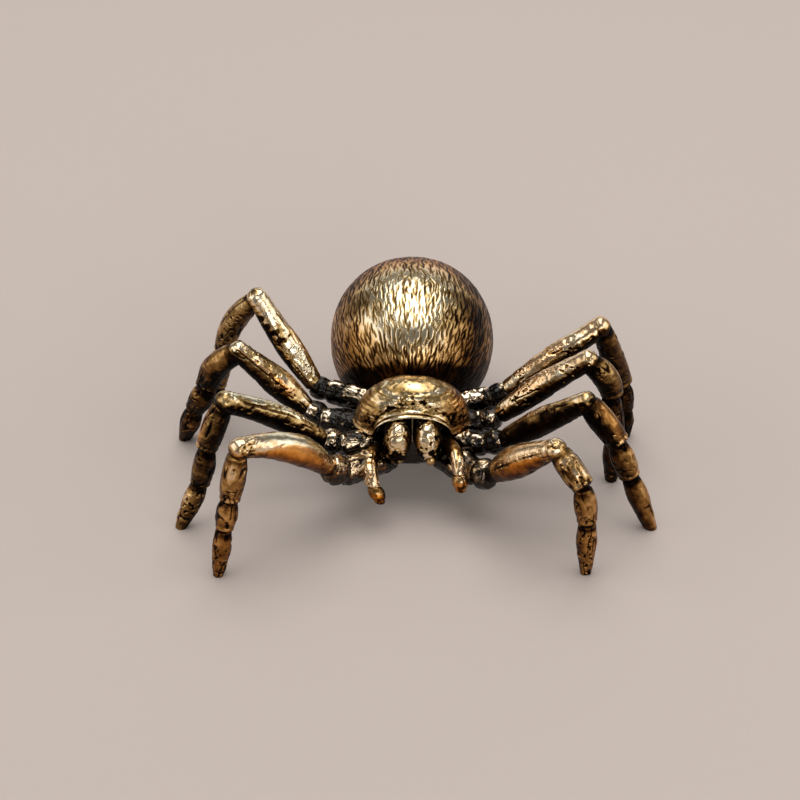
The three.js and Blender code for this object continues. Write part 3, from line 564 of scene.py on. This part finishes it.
def makeAbdomen(look):
    # a squared and stretched sphere, whose poles lie under the waist and over the tail, with a nub at the tail
    low, high = nodeBox("abdomen")
    cloud = nodeCorners("abdomen")
    centreY = cloud[np.abs(cloud[:, 0]) > 0.999 * np.abs(cloud[:, 0]).max()][:, 1].mean()
    centre = np.array([0, centreY, (low[2] + high[2]) / 2]) + ((low + high) / 2) * (1, 0, 0)
    half = np.array([(high[0] - low[0]) / 2, look["length"] / 2, (high[2] - low[2]) / 2])
    latitude = np.linspace(0, np.pi, look["rows"])
    longitude = np.linspace(0, 2 * np.pi, look["columns"], endpoint=False)
    theta, phi = latitude[:, None], longitude[None]
    ringSize = np.sin(theta)
    sphere = np.stack(np.broadcast_arrays(ringSize * np.sin(phi), -np.cos(theta), ringSize * np.cos(phi)), -1)
    sphere = turned(sphere, math.radians(look["poleTilt"]), 0)
    plain = centre + squared(sphere, look["squareness"]) * half
    normals = unit(sphere / half)
    hair = chasedHair(latitude, longitude, half.mean(), look)
    lumps = castNoise(plain, 3.0, 60) * 0.6 + castNoise(plain, 1.0, 61) * 0.4
    drop = math.radians(look["tailDrop"])
    towardsTail = unit(plain - centre) @ np.array([0, math.cos(drop), -math.sin(drop)])
    nub = smoothStep(0.984, 0.994, towardsTail)
    nubRing = bell(towardsTail - 0.982, 0.003)
    rise = look["lump"] * lumps - look["depth"] * hair * (1 - nub)
    rise = rise + look["nubRise"] * nub - look["nubMoat"] * nubRing
    points = plain + rise[..., None] * normals
    above = normals @ unit(np.array((0.0, -0.25, 1.0)))
    # painted shade: the underside is made darker
    under = 1 - smoothStep(-0.6, 0.5, above)
    ragged = 0.06 * castNoise(plain, 0.8, 63)
    # the waist under the carapace goes dark, partly oxide in the recess and partly painted shade
    frontLow = 0.12 * np.abs(normals[..., 0]) - normals[..., 1] - 0.6 * normals[..., 2] + ragged
    waistPatinaAndShade = smoothStep(0.64, 0.78, frontLow) + 0.2 * smoothStep(0.3, 0.66, frontLow)
    # painted shade: darker on the spider's left side and over one spot there
    paintedLeftSideShade = 0.4 * smoothStep(0.3, 0.85, normals[..., 0])
    paintedLeftSideShade = paintedLeftSideShade + 0.22 * smoothStep(0.9, 0.98, normals @ unit(np.array((0.62, -0.45, 0.6))) + 0.3 * ragged)
    tailward = smoothStep(-0.1, 0.45, normals[..., 1])
    # painted highlight: the crown is lighter and less warm, partly real wear
    crownWearAndHighlight = smoothStep(0.6, 0.95, above) * (1 - tailward)
    # painted shade: darker towards the back
    paintedBackShade = smoothStep(0.4, 0.8, normals[..., 1])
    # darker towards the spider's right flank, partly patina and partly painted shade
    rightFlankPatinaAndShade = smoothStep(-0.3, -0.9, normals[..., 0])
    patina = 0.06 + 0.82 * hair + 0.2 * under + 0.6 * waistPatinaAndShade + 0.14 * castNoise(plain, 2.2, 62) + 0.3 * nubRing
    patina = patina + paintedLeftSideShade + 0.18 * rightFlankPatinaAndShade + 0.2 * tailward + 0.12 * paintedBackShade - 0.14 * crownWearAndHighlight
    upperBack = tailward * smoothStep(-0.3, 0.1, normals[..., 2] - 1.37 * normals[..., 1])
    warmth = 0.35 + 0.2 * under + 0.1 * np.abs(normals[..., 0]) + 0.6 * upperBack - 0.2 * paintedBackShade - 0.3 * crownWearAndHighlight
    makeCasting("abdomen", points, {"patina": patina, "warmth": warmth}, chasedBrass)


makeAbdomen(abdomenLook)
print("abdomen made")


# carapace

carapaceLook = {"squareness": 2.2, "visorWidth": 7.8, "visorRise": 2.4, "wall": 0.6, "rows": 130, "columns": 300,
                "edgeRows": 10, "lip": 0.16, "lipWidth": 0.17, "trough": 0.13, "lump": 0.11,
                "lengthShare": 6.2 / 11.5, "hemWidth": 0.26, "hemRise": 0.18, "grooveDepth": 0.06, "pitDepth": 0.16,
                "flankPitDepth": 0.12, "strokeDepth": 0.028, "crumbHeight": 0.07}


def makeCarapace(look):
    # A squared dome over its rim, drawn from the crown down to the rim at each bearing. The rim
    # rises over the face where (x/w)^2 + (z/h)^2 = 1. The wall folds round the rim and runs back up inside.
    low, high = nodeBox("carapace")
    rimHeight = low[2]
    halfWidth = (high[0] - low[0]) / 2
    half = np.array([halfWidth, halfWidth * look["lengthShare"], high[2] - rimHeight])
    middle = np.array([(low[0] + high[0]) / 2, high[1] - half[1], rimHeight])
    bearing = np.linspace(0, 2 * np.pi, look["columns"], endpoint=False)[None]

    def dome(height, shrink):
        # the dome's point at an angle over the rim, with the half sizes less a wall
        return squared(sphereAt(height, bearing), look["squareness"]) * (half - shrink)

    rim, top = np.zeros_like(bearing), np.full_like(bearing, np.pi / 2)
    front = np.sin(bearing) < 0
    for _ in range(30):
        between = (rim + top) / 2
        place = dome(between, 0)
        arch = (2 * place[..., 0] / look["visorWidth"]) ** 2 + (place[..., 2] / look["visorRise"]) ** 2 < 1
        rim, top = np.where(arch & front, between, rim), np.where(arch & front, top, between)
    share = np.linspace(0, 1, look["rows"])[:, None]
    outside = dome(np.pi / 2 + (rim - np.pi / 2) * share, 0)
    inside = dome(np.pi / 2 + (rim - np.pi / 2) * share[::-3], look["wall"])
    turn = np.linspace(0, np.pi, look["edgeRows"])[1:-1, None, None]
    edgeMiddle = (outside[-1] + inside[0]) / 2
    edge = edgeMiddle + np.cos(turn) * (outside[-1] - inside[0]) / 2
    edge = edge - np.sin(turn) * look["wall"] * 0.3 * np.array((0, 0, 1))
    normals = unit(outside / half ** 2)
    fromRim = np.linalg.norm(outside - outside[-1], axis=-1)

    plain = outside + middle
    side = plain[..., 0] / half[0]
    lumps = castNoise(plain, 1.6, 70) * 0.5 + castNoise(plain, 0.7, 71) * 0.4 + castNoise(plain, 0.34, 79) * 0.3
    arch = smoothStep(0.02, 0.25, rim)
    lip = arch * (bell(fromRim, look["lipWidth"]) + 0.5 * bell(fromRim - 0.5, 0.11))
    groove = arch * bell(fromRim - 0.28, 0.08)
    face = smoothStep(0.1, 0.6, -np.sin(bearing))
    trough = bell(fromRim - 1.2, 0.42) * face
    dents = 0.6 * castNoise(plain, 0.4, 72) + 0.6 * castNoise(plain, 0.19, 75)
    band = bell(fromRim - 1.5, 0.6) * face
    bandPits = smoothStep(0.08, 0.32, dents) * band
    crumbs = smoothStep(0.05, 0.35, -dents) * band
    flank = smoothStep(0.45, 0.8, np.abs(side))
    flankPits = pitted(plain, 0.2, 74, -0.1) * flank
    arcs = np.stack(np.broadcast_arrays(plain[..., 2], 0.12 * plain[..., 0], 0.12 * plain[..., 1]), -1)
    strokes = castNoise(arcs, 0.16, 76)
    hem = bell(fromRim, look["hemWidth"]) * (1 - arch) * smoothStep(-0.6, 0.2, castNoise(plain, 0.9, 77))
    rise = look["lump"] * lumps + look["lip"] * lip - look["grooveDepth"] * groove - look["trough"] * trough
    rise = rise - look["pitDepth"] * bandPits - look["flankPitDepth"] * flankPits + look["strokeDepth"] * strokes
    rise = rise + look["hemRise"] * hem + look["crumbHeight"] * crumbs
    outside = plain + rise[..., None] * normals
    points = np.concatenate([outside, edge + middle + rise[-1][None, :, None] * normals[-1], inside + middle])
    clouds = castNoise(plain, 1.1, 78)
    patina = 0.18 + 0.2 * trough + 0.85 * bandPits + 0.28 * flankPits + 0.34 * strokes + 0.12 * clouds
    patina = patina + 0.22 * smoothStep(0.35, 0.8, -side) + 0.24 * smoothStep(0.35, 0.8, side)
    # painted highlight: the raised lip is painted pale, partly wear; the hem is painted pale, partly wear and partly
    # painted glints
    patina = patina + 0.5 * groove - 0.4 * lip - 0.6 * hem - 0.12 * np.clip(lumps, 0, 1) - 0.16 * crumbs
    # painted shade: darker at the back, towards the rim
    back = smoothStep(0.5, 0.95, np.sin(bearing)) * smoothStep(0.5, 0.95, share)
    patina = patina + 0.25 * back
    warmth = 0.15 + 0.45 * smoothStep(0.4, 0.85, side) + 0.15 * smoothStep(0.4, 0.85, -side) + 0 * patina
    hidden = np.full((len(points) - len(outside), look["columns"]), 0.92)
    hidden[:4] = np.where(arch > 0.5, 0.1, 0.5)
    fields = {"patina": np.concatenate([patina, hidden]), "warmth": np.concatenate([warmth, 0 * hidden])}
    makeCasting("carapace", points, fields, polishedBrass)


makeCarapace(carapaceLook)
print("carapace made")


# jaws, fangs and the core between them

sides = {"right": -1, "left": 1}
jawLook = {"squareness": 2.2, "depth": 3.4, "lean": 6, "splay": 6, "rows": 120, "columns": 120, "lump": 0.15,
           "hollowDepth": 0.12, "pitDepth": 0.1, "bead": 0.5, "beadRise": 0.25, "beadPlace": (0.1, -0.72, -0.66),
           "moat": 0.62, "moatDepth": 0.1}
fangLook = {"rows": 50, "columns": 48, "thick": 0.42, "taper": 0.55, "lump": 0.05}
coreLook = {"belly": 2.7, "width": 8.2, "squareness": (2.3, 3.2), "rows": 90, "columns": 160, "lump": 0.08,
            "ridge": 0.6, "ridgeWidth": 0.2, "inset": 0.1}


def makeJaws(look):
    # A squared egg, splayed and leant, with lumps, hollows that a noise plus a painted shadow towards the bottom picks
    # and darkens, and wavy pits. The left one ends in a round bead exp(-(distance/size)^4) with a moat about it.
    for side, sign in sides.items():
        low, high = nodeBox(f"chelicera_{side}")
        half = np.array([(high[0] - low[0]) / 2, look["depth"] / 2, (high[2] - low[2]) / 2])
        middle = np.array([(low[0] + high[0]) / 2, low[1] + half[1], (low[2] + high[2]) / 2])
        plain, normals = egg(half, look["squareness"], look["rows"], look["columns"])
        lean, splay = math.radians(-look["lean"]), math.radians(-sign * look["splay"])
        seed = 200 + 10 * sign
        placed = plain + middle
        lumps = castNoise(placed, 1.2, seed) * 0.6 + castNoise(placed, 0.5, seed + 1) * 0.3
        lumps = lumps + 0.06 * castNoise(placed, 0.25, seed + 6)
        shadow = smoothStep(1.2, -1.1, plain[..., 2] - 0.35 * sign * plain[..., 0])
        cloud = 0.7 * castNoise(placed, 0.6, seed + 2) + 0.5 * castNoise(placed, 0.28, seed + 5)
        dark = smoothStep(0.0, 0.22, cloud - 0.5 + 0.82 * shadow)
        squiggles = creased(castNoise(placed, 0.7, seed + 7), 0.16)
        pits = np.maximum(pitted(placed, 0.3, seed + 3, 0.0), 0.6 * squiggles)
        apart = np.linalg.norm(plain - half * np.array(look["beadPlace"]), axis=-1)
        bead = np.exp(-((apart / look["bead"]) ** 4)) if side == "left" else 0 * apart
        moat = bell(apart - look["moat"], 0.1) if side == "left" else 0 * apart
        rise = look["lump"] * lumps - look["hollowDepth"] * dark - look["pitDepth"] * pits
        rise = rise * (1 - bead) + look["beadRise"] * bead - look["moatDepth"] * moat
        points = turned(plain + rise[..., None] * normals, lean, splay) + middle
        # painted shade: darker on the sides and underneath
        flankShade = smoothStep(0.5, 0.9, np.abs(normals[..., 0])) + smoothStep(-0.2, -0.75, normals[..., 2])
        patina = 0.85 * dark + 0.5 * pits + 0.5 * flankShade + 0.12 * castNoise(placed, 0.8, seed + 4)
        patina = patina * (1 - bead) + 0.3 * bead + 0.5 * moat
        warmth = 0.22 + 0.8 * bead * smoothStep(-1.4, -1.9, plain[..., 2])
        makeCasting(f"chelicera_{side}", points, {"patina": patina, "warmth": warmth}, polishedBrass)


def makeFangs(look):
    # a round bar along a line from the jaw to the tip, bowed by share(1 - share), that tapers past its middle
    for side, sign in sides.items():
        low, high = nodeBox(f"fang_{side}")
        top = np.array([(low[0] + high[0]) / 2 + 0.15 * sign, (low[1] + high[1]) / 2, high[2]])
        point = np.array([top[0] - 0.3 * sign, high[1] - 0.3, low[2] + 0.8])
        plain, normals = egg(np.array((look["thick"], look["thick"], 1.0)), 2.0, look["rows"], look["columns"])
        share = (1 - plain[..., 2:]) / 2
        taper = 1 - look["taper"] * smoothStep(0.45, 1.0, share)
        spine = top * (1 - share) + point * share + np.array((0.3 * sign, -0.15, 0)) * share * (1 - share)
        points = spine + plain * (1, 1, 0) * taper
        points = points + look["lump"] * castNoise(points, 0.5, 240 + sign)[..., None] * normals
        # painted shade: the fangs are made nearly black, as they sit in shade under the jaws
        patina = 0.95 + 0.1 * castNoise(points, 0.6, 242 + sign)
        makeCasting(f"fang_{side}", points, {"patina": patina, "warmth": 0 * patina + 0.3}, polishedBrass)


def makeCore(look):
    # a squared egg, boxier below its middle than in the crown over it, with a thin upright ridge between the jaws
    low, high = nodeBox("body_core")
    middle = np.array([(low[0] + high[0]) / 2, (low[1] + high[1]) / 2, low[2] + look["belly"]])
    height = np.linspace(np.pi / 2, -np.pi / 2, look["rows"])[:, None, None]
    tall = np.where(height > 0, high[2] - middle[2], look["belly"])
    half = np.concatenate(np.broadcast_arrays(look["width"] / 2, (high[1] - low[1]) / 2, tall), -1) - look["inset"]
    power = look["squareness"][0] + np.diff(look["squareness"])[0] * smoothStep(0.3, -0.1, np.sin(height))
    plain, normals = egg(half, power, look["rows"], look["columns"])
    points = plain + middle
    ridge = bell(plain[..., 0], look["ridgeWidth"]) * smoothStep(0.4, 0.8, -normals[..., 1])
    ridge = ridge * smoothStep(0.8, 1.5, plain[..., 2])
    lumps = castNoise(points, 1.2, 80) + 0.5 * castNoise(points, 0.5, 81)
    rise = look["lump"] * lumps - look["lump"] + look["ridge"] * ridge
    points = points + rise[..., None] * normals
    # near black: partly blackened brass and partly painted shade under the carapace
    patina = 0.94 + 0.1 * castNoise(points, 0.8, 82) - 0.5 * ridge
    makeCasting("body_core", points, {"patina": patina, "warmth": 0 * patina}, blackBrass)


makeJaws(jawLook)
makeFangs(fangLook)
makeCore(coreLook)
print("jaws, fangs and core made")


# feelers

palpLook = {
    "right": {"elbow": (-5.05, -8.54, 6.8), "wrist": (-3.75, -9.64, 4.5), "tip": (-3.2, -10.44, 3.1),
              "base": {"under": 0.3, "shade": (0.3, -0.4), "warm": 0.6, "rubbed": (-0.7, -0.5, 0.5)},
              "bulb": {"under": 0.1, "shade": (0.3, -0.4), "warm": 1.0, "rubbed": (-0.7, -0.5, 0.5)},
              "bulbTone": 0.32},
    "left": {"elbow": (4.65, -8.04, 7.8), "wrist": (4.65, -9.14, 5.6), "tip": (4.75, -9.84, 4.1),
             "base": {"under": 0.3, "shade": (0.3, -0.4), "warm": 0.6, "rubbed": (-0.1, -0.7, 0.6)},
             "bulb": {"under": 0.1, "shade": (0.3, -0.4), "warm": 0.9, "rubbed": (-0.1, -0.7, 0.6)},
             "bulbTone": 0.12},
}
palpBar = {"knots": (0, 0.35, 0.65, 1), "radii": (0.62, 0.78, 0.82, 0.68), "belly": 0.86, "cap": 0.3, "tuck": 0.25,
           "rows": 130, "lump": 0.08, "crease": 0.07, "pit": 0.1, "pitted": 0.0, "ring": 0.0, "fold": 0.0,
           "warmth": 0.7}
palpBulb = {"knots": (0, 0.25, 0.5, 1), "radii": (0.76, 0.84, 0.82, 0.6), "belly": 0.84, "cap": 0.45, "tuck": 0.3,
            "rows": 90, "lump": 0.06, "crease": 0.05, "pit": 0.1, "pitted": -0.1, "ring": -0.05, "fold": 0.0,
            "warmth": 1.0}
palpTone = -0.1
palpNeck = [dict(share=0.0, turn=60, length=0.7, width=1.2, tone=-0.2, warm=-0.6)]
palpShade = [dict(share=0.2, turn=0, length=2.4, width=6.0, tone=0.7)]  # painted shade on the upper half of the base


def makePalps():
    # two limb skins each: a base bent at the elbow, from the core to the wrist, and a bulb from there to the tip
    across = np.array((1.0, 0.0, 0.0))
    for number, (side, places) in enumerate(palpLook.items()):
        elbow, wrist, tip = (np.array(places[name]) for name in ("elbow", "wrist", "tip"))
        cloud = nodeCorners(f"pedipalp_{side}_base")
        root = cloud[cloud[:, 1] > cloud[:, 1].max() - 0.15].mean(0)
        seed = 900 + 20 * number
        points, fields = limbSkin(root, elbow, wrist, palpBar["belly"], across, palpBar, palpTone, places["base"],
                                  palpShade, seed)
        makeCasting(f"pedipalp_{side}_base", points, fields, polishedBrass)
        points, fields = limbSkin(wrist, (wrist + tip) / 2, tip, palpBulb["belly"], across, palpBulb,
                                  places["bulbTone"], places["bulb"], palpNeck, seed + 10)
        makeCasting(f"pedipalp_{side}_tip", points, fields, polishedBrass)


makePalps()
print("feelers made")


# floor, light and camera

stageLook = {"floor": "#cdbfb6", "world": "#fbf6ef", "worldStrength": 0.15, "floorSize": 0.9,
             "floorRough": 0.7, "lampAim": (0, 0, 0.008)}
lamps = [  # where, aimed at the body, size and power in watts
    {"name": "softbox", "place": (0.0, 0.07, 0.41), "size": (0.34, 0.48), "power": 1.2},
    {"name": "right side", "place": (0.36, -0.05, 0.16), "size": (0.42, 0.26), "power": 0.48},
    {"name": "left side", "place": (-0.35, -0.06, 0.17), "size": (0.44, 0.28), "power": 0.46},
    {"name": "front", "place": (0.14, -0.42, 0.17), "size": (0.32, 0.15), "power": 0.42},
    {"name": "back", "place": (0.0, 0.42, 0.12), "size": (0.7, 0.18), "power": 0.3},
]
cameraLook = {"aim": (-1.28, 1.85, 7.0), "distance": 293.3, "elevation": 36, "lens": 129.6, "sensor": 36}


def makeStage(look):
    # a flat matt floor under an even, dim sky
    material = bpy.data.materials.new("matt pale board")
    material.use_nodes = True
    shader = material.node_tree.nodes["Principled BSDF"]
    shader.inputs["Base Color"].default_value = linear(look["floor"])
    shader.inputs["Roughness"].default_value = look["floorRough"]
    half = look["floorSize"] / 2
    mesh = bpy.data.meshes.new("floor")
    mesh.from_pydata([(-half, -half, 0), (half, -half, 0), (half, half, 0), (-half, half, 0)], [], [(0, 1, 2, 3)])
    mesh.materials.append(material)
    floor = bpy.data.objects.new("floor", mesh)
    bpy.context.scene.collection.objects.link(floor)
    world = bpy.data.worlds.new("studio")
    world.use_nodes = True
    background = world.node_tree.nodes["Background"]
    background.inputs["Color"].default_value = linear(look["world"])
    background.inputs["Strength"].default_value = look["worldStrength"]
    bpy.context.scene.world = world


def makeLamps(look):
    # each lamp is a rectangle turned towards the aim
    for lamp in lamps:
        light = bpy.data.lights.new(lamp["name"], "AREA")
        light.shape = "RECTANGLE"
        light.size, light.size_y = lamp["size"]
        light.energy = lamp["power"]
        holder = bpy.data.objects.new(lamp["name"], light)
        holder.location = lamp["place"]
        holder.rotation_euler = (Vector(look["lampAim"]) - holder.location).to_track_quat("-Z", "Y").to_euler()
        bpy.context.scene.collection.objects.link(holder)


def makeCamera(look):
    # the camera stands its distance from the aim, in front and up by the elevation, and looks at the aim
    tilt = math.radians(look["elevation"])
    back = Vector((0, -math.cos(tilt), math.sin(tilt))) * look["distance"]
    camera = bpy.data.cameras.new("photo view")
    camera.sensor_width = look["sensor"]
    camera.lens = look["lens"]
    holder = bpy.data.objects.new("photo view", camera)
    holder.location = (Vector(look["aim"]) + back) * mm
    holder.rotation_euler = (math.pi / 2 - tilt, 0, 0)
    bpy.context.scene.collection.objects.link(holder)
    bpy.context.scene.camera = holder


makeStage(stageLook)
makeLamps(stageLook)
makeCamera(cameraLook)
bpy.context.scene.view_settings.view_transform = "Standard"
print("stage, lamps and camera set")
